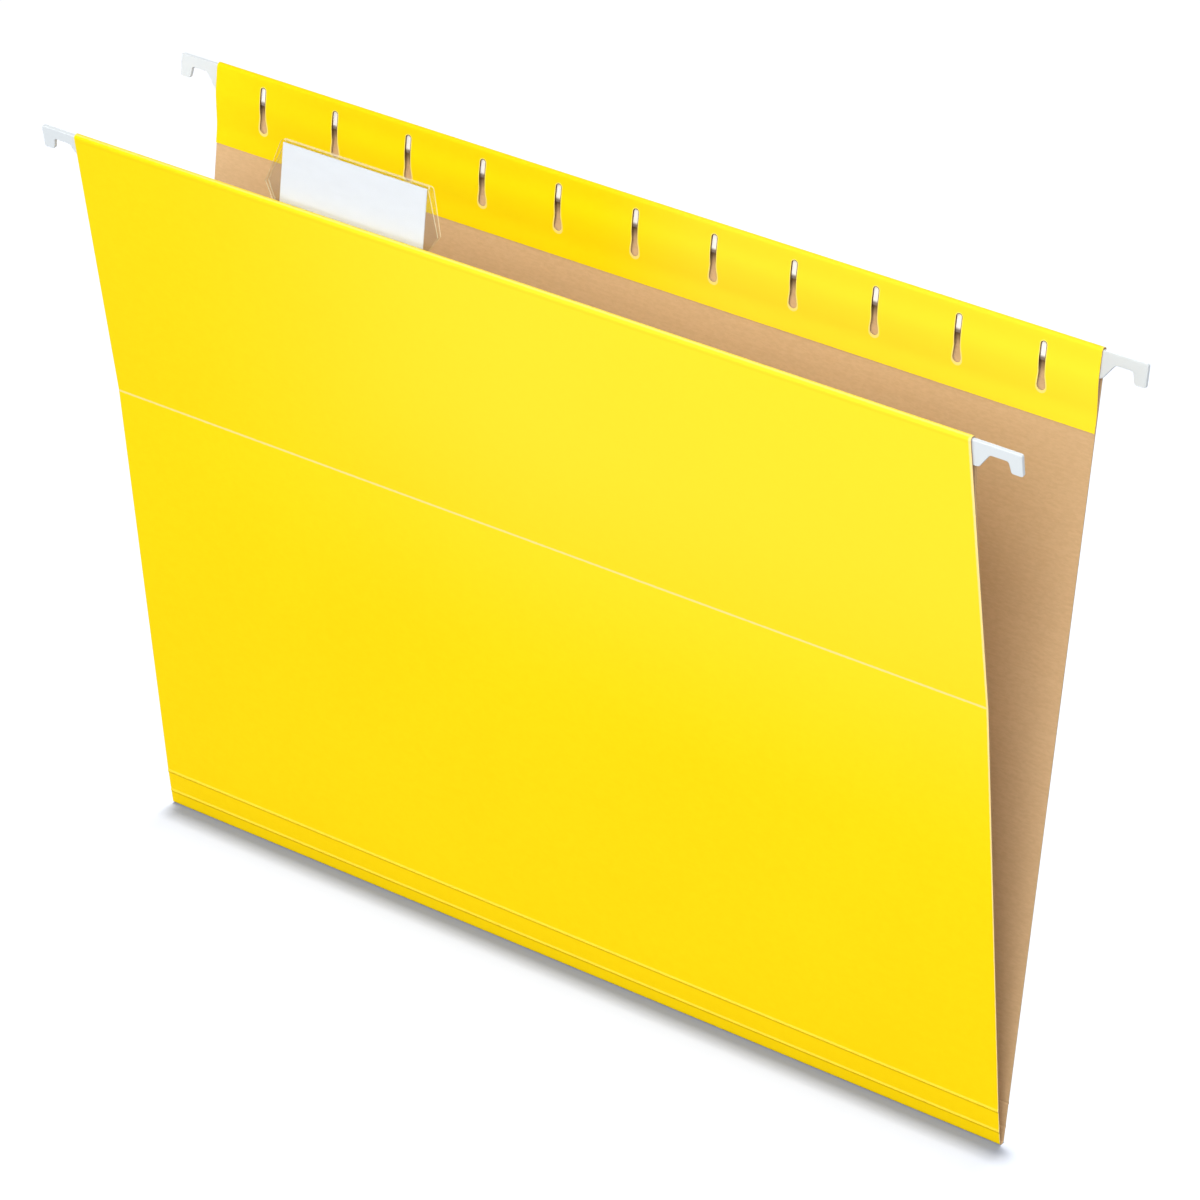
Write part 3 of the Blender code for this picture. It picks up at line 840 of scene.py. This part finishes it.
def keep_lay(mesh, side):
    """Keep each point's place on the flat sheet, on that side of its middle."""
    layer = mesh.verts.layers.float.new(RUN)
    for vert in mesh.verts:
        vert[layer] = vert.co.z
    flat = mesh.loops.layers.uv.new(LAY)
    for face in mesh.faces:
        for loop in face.loops:
            loop[flat].uv = (loop.vert.co.x, side * loop.vert.co.z)


def bead_lines(run):
    board, _ = settings()
    return [run + step * board.bead_width / 4 for step in BEAD_CUTS]


def press_bead(mesh, run):
    """Raise a score's bead towards the outer face."""
    board, _ = settings()
    quarter = board.bead_width / 4
    for step, share in BEAD_RISE:
        height = run + step * quarter
        raised = [vert for vert in mesh.verts if abs(vert.co.z - height) < NEAR]
        bmesh.ops.translate(mesh, vec=(0, -board.bead_height * share, 0), verts=raised)


def fold(mesh, run, bend):
    """Turn what lies beyond a line of the sheet, inwards for a positive bend."""
    layer = mesh.verts.layers.float[RUN]
    beyond = [vert for vert in mesh.verts if vert[layer] > run + TINY]
    turn = Matrix.Rotation(-bend, 3, "X")
    bmesh.ops.rotate(mesh, cent=(0, 0, run), matrix=turn, verts=beyond)


def soft_lines(run):
    """Lines over which the flap bends gently, about the run where it would bend at once."""
    _, hem = settings()
    step = hem.bend_spread / hem.bend_steps
    middle = (hem.bend_steps - 1) / 2
    return [run + step * (number - middle) for number in range(hem.bend_steps)]


def round_lines(low, high, count):
    """Lines of a round fold between two runs, at the middles of equal steps."""
    step = (high - low) / count
    return [low + step * (number + 0.5) for number in range(count)]


def hem_lines():
    _, hem = settings()
    return round_lines(*flap_runs()[:2], hem.fold_steps)


def fold_hem(mesh):
    """Fold the top inwards over the rod, from the flap's cut edge back to the leaf."""
    _, hem = settings()
    _, _, bend, glue, _ = flap_runs()
    slope = math.atan2(flap_step(), hem.depth - hem.glue_band - hem.flap_bend)
    for run in reversed(soft_lines(glue)):
        fold(mesh, run, -slope / hem.bend_steps)
    for run in reversed(soft_lines(bend)):
        fold(mesh, run, slope / hem.bend_steps)
    for run in reversed(hem_lines()):
        fold(mesh, run, math.pi / hem.fold_steps)


def stand_board(mesh, run, place, turn, inward):
    """Stand a stretch on its crease: the given run goes to the place, turned about X."""
    bmesh.ops.translate(mesh, vec=(0, 0, -run), verts=mesh.verts)
    if inward < 0:
        bmesh.ops.scale(mesh, vec=(1, -1, 1), verts=mesh.verts)
        bmesh.ops.reverse_faces(mesh, faces=mesh.faces)
    lean_over = Matrix.Rotation(turn, 3, "X")
    bmesh.ops.rotate(mesh, cent=(0, 0, 0), matrix=lean_over, verts=mesh.verts)
    bmesh.ops.translate(mesh, vec=place, verts=mesh.verts)


def finish_board(name, mesh):
    """Give a folded sheet its thickness: yellow outside, kraft inside and bare cut edges."""
    board, _ = settings()
    piece = make_object(name, mesh)
    for finish in board_finishes():
        piece.data.materials.append(finish)
    wall = piece.modifiers.new("thickness", "SOLIDIFY")
    wall.thickness = board.thickness
    wall.offset = 0.0
    wall.use_even_offset = True
    wall.use_quality_normals = True
    wall.material_offset = 1
    wall.material_offset_rim = 2
    settle(piece)
    return piece


def make_object(name, mesh):
    data = bpy.data.meshes.new(name)
    mesh.to_mesh(data)
    mesh.free()
    piece = bpy.data.objects.new(name, data)
    bpy.context.scene.collection.objects.link(piece)
    return piece


def settle(piece):
    """Apply a piece's modifiers and shade it smooth up to its sharp edges."""
    graph = bpy.context.evaluated_depsgraph_get()
    data = bpy.data.meshes.new_from_object(piece.evaluated_get(graph))
    piece.modifiers.clear()
    old = piece.data
    piece.data = data
    bpy.data.meshes.remove(old)
    data.name = piece.name
    data.shade_smooth()
    data.set_sharp_from_angle(angle=SHARP_EDGE)


def lean(low, high):
    """Turn about X of a line between two creases, from upright."""
    return math.atan2(low.y - high.y, high.z - low.z)


def creases():
    """The two creases of the bottom fold, and the turn of each stretch by name."""
    front = crease["bottom_fold"]
    rear = Vector((0, -front.y, front.z))
    board, _ = settings()
    turns = {
        "rear": lean(rear, crease["rear_box_score"]),
        "front_strip": lean(front, crease["front_box_score"]),
        "front_lower": lean(crease["front_box_score"], crease["mid_fold"]),
    }
    turns["front_upper"] = turns["front_lower"] + board.mid_bend
    return front, rear, turns


class FOLDER_OT_hemmed_panels(bpy.types.Operator):
    """Make the two panels whose tops are folded over the rods"""

    bl_idname = "folder.hemmed_panels"
    bl_label = "Hemmed panels"

    def execute(self, context):
        board, _ = settings()
        _, _, turns = creases()
        rows = (
            ("rear_board", "rear_panel", "rear_leaf",
             board.box_score, crease["rear_box_score"], turns["rear"], -1),
            ("front_upper_board", "front_upper_panel", "front_upper",
             board.mid_score, crease["mid_fold"], turns["front_upper"], 1),
        )
        for name, node, body, base, place, turn, inward in rows:
            mesh = self.fold_panel(base, inward)
            stand_board(mesh, base, place, turn, inward)
            piece = finish_board(name, mesh)
            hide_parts(node)
            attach(piece, body)
        return {"FINISHED"}

    @staticmethod
    def fold_panel(base, inward):
        """Punched stretch from above its crease to the flap's cut edge, with its hem folded."""
        board, _ = settings()
        start, end, bend, glue, stop = flap_runs()
        mesh = lay_punched(base + board.crease_reach, stop)
        bends = soft_lines(bend) + soft_lines(glue)
        beside = [start - board.thickness, end + board.thickness]
        mark_lines(mesh, hem_lines() + bends + beside)
        keep_lay(mesh, inward)
        fold_hem(mesh)
        return mesh


class FOLDER_OT_plain_panels(bpy.types.Operator):
    """Make the flat stretches of board between the creases"""

    bl_idname = "folder.plain_panels"
    bl_label = "Plain panels"

    def execute(self, context):
        board, _ = settings()
        front, rear, turns = creases()
        strip = (board.fold_reach, board.box_score - board.crease_reach)
        lower = (board.box_score + board.crease_reach, board.mid_score - board.crease_reach)
        rows = (
            ("rear_strip_board", "rear_bottom_strip", "rear_strip",
             strip, 0.0, rear, turns["rear"], -1),
            ("front_strip_board", "front_bottom_strip", "front_strip",
             strip, 0.0, front, turns["front_strip"], 1),
            ("front_lower_board", "front_lower_panel", "front_lower",
             lower, board.box_score, crease["front_box_score"], turns["front_lower"], 1),
        )
        for name, node, body, (low, high), base, place, turn, inward in rows:
            mesh = lay_flat(low, high)
            has_bead = low < board.inner_score < high
            mark_lines(mesh, bead_lines(board.inner_score) if has_bead else [])
            keep_lay(mesh, inward)
            if has_bead:
                press_bead(mesh, board.inner_score)
            stand_board(mesh, base, place, turn, inward)
            piece = finish_board(name, mesh)
            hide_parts(node)
            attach(piece, body)
        return {"FINISHED"}


class FOLDER_OT_score_creases(bpy.types.Operator):
    """Make the bands of board that bend at the scores"""

    bl_idname = "folder.score_creases"
    bl_label = "Score creases"

    def execute(self, context):
        board, _ = settings()
        _, _, turns = creases()
        rows = (
            ("rear_box_crease", "rear_strip", "rear_leaf",
             board.box_score, crease["rear_box_score"],
             turns["rear"], 0.0, -1, True),
            ("front_box_crease", "front_strip", "front_lower",
             board.box_score, crease["front_box_score"],
             turns["front_strip"], turns["front_strip"] - turns["front_lower"], 1, True),
            ("middle_crease", "front_lower", "front_upper",
             board.mid_score, crease["mid_fold"],
             turns["front_lower"], turns["front_lower"] - turns["front_upper"], 1, False),
        )
        for name, below, above, run, place, turn, bend, inward, has_bead in rows:
            mesh = lay_flat(run - board.crease_reach, run + board.crease_reach)
            mark_lines(mesh, bead_lines(run))
            keep_lay(mesh, inward)
            if has_bead:
                press_bead(mesh, run)
            fold(mesh, run, bend)
            stand_board(mesh, run, place, turn, inward)
            piece = finish_board(name, mesh)
            along = Matrix.Rotation(turn, 3, "X") @ Vector((0, 0, board.bead_width / 2))
            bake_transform(piece, below, above, start=place - along, end=place + along)
        return {"FINISHED"}


class FOLDER_OT_bottom_fold(bpy.types.Operator):
    """Make the round fold that joins the two leaves at the bottom"""

    bl_idname = "folder.bottom_fold"
    bl_label = "Bottom fold"

    def execute(self, context):
        board, _ = settings()
        front, rear, turns = creases()
        total = math.pi - turns["front_strip"] + turns["rear"]
        half_gap = rear.y
        mean = (turns["front_strip"] - turns["rear"]) / 2
        radius = half_gap * math.cos(mean) / (1 - math.sin(mean))
        tangent = radius / math.tan(mean) - half_gap / math.sin(mean)
        straight = board.fold_reach - tangent
        arc = radius * total
        mesh = lay_flat(0.0, 2 * straight + arc)
        bends = round_lines(straight, straight + arc, board.fold_steps)
        mark_lines(mesh, [straight / 2, *bends, straight * 1.5 + arc])
        keep_lay(mesh, 1)
        for run in reversed(bends):
            fold(mesh, run, total / board.fold_steps)
        up = Matrix.Rotation(turns["rear"], 3, "X") @ Vector((0, 0, board.fold_reach))
        stand_board(mesh, 0.0, rear + up, math.pi + turns["rear"], 1)
        piece = finish_board("bottom_fold_board", mesh)
        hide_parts("bottom_fold_ridge")
        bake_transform(piece, "rear_strip", "front_strip", start=rear, end=front)
        return {"FINISHED"}


class FOLDER_OT_hanger_rods(bpy.types.Operator):
    """Coat the two hooked hanger rods"""

    bl_idname = "folder.hanger_rods"
    bl_label = "Hanger rods"

    def execute(self, context):
        for name in ("front_hanger_rod", "rear_hanger_rod"):
            rod = frame["nodes"][name]
            low = min((rod.matrix_world @ Vector(corner)).z for corner in rod.bound_box)
            dress(rod, make_coating(name + "_coating", low))
        return {"FINISHED"}


class FOLDER_OT_index_tab(bpy.types.Operator):
    """Give the index tab its clear plastic"""

    bl_idname = "folder.index_tab"
    bl_label = "Index tab"

    def execute(self, context):
        dress(frame["nodes"]["index_tab"], finish_of("clear_sheet", make_plastic))
        return {"FINISHED"}


class FOLDER_OT_tab_insert(bpy.types.Operator):
    """Give the tab's insert its paper"""

    bl_idname = "folder.tab_insert"
    bl_label = "Tab insert"

    def execute(self, context):
        dress(frame["nodes"]["tab_insert"], finish_of("insert_card", make_paper))
        return {"FINISHED"}


def dress(node, finish):
    for slot in node.material_slots:
        slot.material = finish


class FOLDER_OT_stage(bpy.types.Operator):
    """Make the camera, the floor, the lamps and the white surroundings"""

    bl_idname = "folder.stage"
    bl_label = "Stage"

    def execute(self, context):
        context.scene.view_settings.view_transform = "Standard"
        self.make_camera(context.scene)
        self.make_lamps(self.make_floor())
        self.make_world(context.scene)
        return {"FINISHED"}

    def make_camera(self, scene):
        stage = scene.folder_stage
        away = Vector((
            math.sin(stage.azimuth) * math.cos(stage.elevation),
            -math.cos(stage.azimuth) * math.cos(stage.elevation),
            math.sin(stage.elevation),
        ))
        place = Vector(stage.target) + away * stage.distance
        turn = away.to_track_quat("Z", "Y").to_matrix() @ Matrix.Rotation(stage.roll, 3, "Z")
        data = bpy.data.cameras.new("camera")
        data.lens = stage.lens
        data.sensor_width = SENSOR_WIDTH
        data.clip_end = SIGHT_END
        camera = bpy.data.objects.new("camera", data)
        camera.matrix_world = Matrix.LocRotScale(place, turn, None)
        scene.collection.objects.link(camera)
        scene.camera = camera

    def make_floor(self):
        stage = bpy.context.scene.folder_stage
        mesh = bmesh.new()
        bmesh.ops.create_grid(mesh, x_segments=1, y_segments=1, size=stage.floor_size / 2)
        floor = make_object("floor", mesh)
        floor.data.materials.append(self.make_floor_finish())
        return floor

    def make_floor_finish(self):
        """Floor that shows the shadow near the folder and turns into the white backdrop beyond."""
        finish = Finish(bpy.data.materials.new("floor"))
        stage = bpy.context.scene.folder_stage
        paint = colours()
        dark = dimmed(paint.floor, stage.floor_bounce)
        matt = finish.node("ShaderNodeBsdfDiffuse", inputs={"Color": shade(paint.floor)})
        dim = finish.node("ShaderNodeBsdfDiffuse", inputs={"Color": shade(dark)})
        glow = finish.node("ShaderNodeEmission", inputs={"Color": shade(paint.floor_glow)})
        near = finish.node("ShaderNodeAddShader", inputs={0: matt, 1: glow})
        white = finish.node("ShaderNodeEmission", inputs={"Color": WHITE})
        across, along, _ = finish.parts(finish.place())
        away = finish.ease(across.hypot(along), *stage.floor_fade)
        bright = finish.node("ShaderNodeMixShader", inputs={0: away, 1: near, 2: white})
        seen = self.seen(finish)
        shown = finish.node("ShaderNodeMixShader", inputs={0: seen, 1: dim, 2: bright})
        return finish.output(shown)

    @staticmethod
    def seen(finish):
        """1 for what the camera, a reflection or a clear surface shows, else 0."""
        path = finish.node("ShaderNodeLightPath").socket.node
        rays = [
            Value(finish.tree, path.outputs[name])
            for name in ("Is Camera Ray", "Is Glossy Ray", "Is Transmission Ray")
        ]
        return rays[0].at_least(rays[1]).at_least(rays[2])

    def make_lamps(self, floor):
        """Lamps for the folder, which its tab doesn't shade, and lamps for the floor alone."""
        front_boards = [bpy.data.objects[name] for name in FRONT_BOARDS]
        tab_pieces = [frame["nodes"][name] for name in TAB_PIECES]
        unlit = self.gather("unlit_floor", [floor], "EXCLUDE")
        lit = self.gather("lit_floor", [floor], "INCLUDE")
        front = self.gather("shading_front", front_boards, "INCLUDE")
        tab = self.gather("unshading_tab", tab_pieces, "EXCLUDE")
        for name in FOLDER_LAMPS:
            self.make_lamp(name, unlit, tab)
        for name in FLOOR_LAMPS:
            self.make_lamp(name, lit, front)

    @staticmethod
    def gather(name, pieces, state):
        """Collection that a lamp's light or shadow is linked to."""
        group = bpy.data.collections.new(name)
        for piece in pieces:
            group.objects.link(piece)
        for member in group.collection_objects:
            member.light_linking.link_state = state
        return group

    @staticmethod
    def make_lamp(name, receivers, blockers):
        """Lamp of that name's settings, aimed at the camera's target."""
        stage = bpy.context.scene.folder_stage
        place = Vector(getattr(stage, name + "_place"))
        turn = (place - Vector(stage.target)).to_track_quat("Z", "Y")
        data = bpy.data.lights.new(name, "AREA")
        data.shape = "RECTANGLE"
        data.energy = getattr(stage, name)
        data.size, data.size_y = getattr(stage, name + "_size")
        lamp = bpy.data.objects.new(name, data)
        lamp.matrix_world = Matrix.LocRotScale(place, turn, None)
        lamp.light_linking.receiver_collection = receivers
        lamp.light_linking.blocker_collection = blockers
        bpy.context.scene.collection.objects.link(lamp)

    def make_world(self, scene):
        world = bpy.data.worlds.new("surroundings")
        finish = Finish(world)
        light, backdrop = (
            finish.node("ShaderNodeBackground", inputs={"Color": WHITE, "Strength": strength})
            for strength in (scene.folder_stage.ambient, 1.0)
        )
        seen = self.seen(finish)
        shown = finish.node("ShaderNodeMixShader", inputs={0: seen, 1: light, 2: backdrop})
        finish.node("ShaderNodeOutputWorld", inputs={"Surface": shown})
        scene.world = world


class FOLDER_PT_pieces(bpy.types.Panel):
    """Buttons for the folder's pieces"""

    bl_label = "Hanging file folder"
    bl_idname = "FOLDER_PT_pieces"
    bl_space_type = "VIEW_3D"
    bl_region_type = "UI"
    bl_category = "Folder"

    def draw(self, context):
        for operator in OPERATORS:
            self.layout.operator(operator.bl_idname)
        for group in GROUPS:
            holder = getattr(context.scene, group)
            for name in holder.bl_rna.properties.keys():
                if name not in ("rna_type", "name"):
                    self.layout.prop(holder, name)


OPERATORS = (
    FOLDER_OT_hemmed_panels,
    FOLDER_OT_plain_panels,
    FOLDER_OT_score_creases,
    FOLDER_OT_bottom_fold,
    FOLDER_OT_hanger_rods,
    FOLDER_OT_index_tab,
    FOLDER_OT_tab_insert,
    FOLDER_OT_stage,
)
GROUPS = {
    "folder_board": BoardSizes,
    "folder_hem": HemSizes,
    "folder_colours": FolderColours,
    "folder_stage": StageSizes,
}


def register():
    for item in (*GROUPS.values(), *OPERATORS, FOLDER_PT_pieces):
        bpy.utils.register_class(item)
    for name, group in GROUPS.items():
        setattr(bpy.types.Scene, name, PointerProperty(type=group))


def unregister():
    for name in GROUPS:
        delattr(bpy.types.Scene, name)
    for item in (FOLDER_PT_pieces, *reversed(OPERATORS), *GROUPS.values()):
        bpy.utils.unregister_class(item)


def main():
    register()
    for operator in OPERATORS:
        group, name = operator.bl_idname.split(".")
        getattr(getattr(bpy.ops, group), name)()


if __name__ == "__main__":
    main()
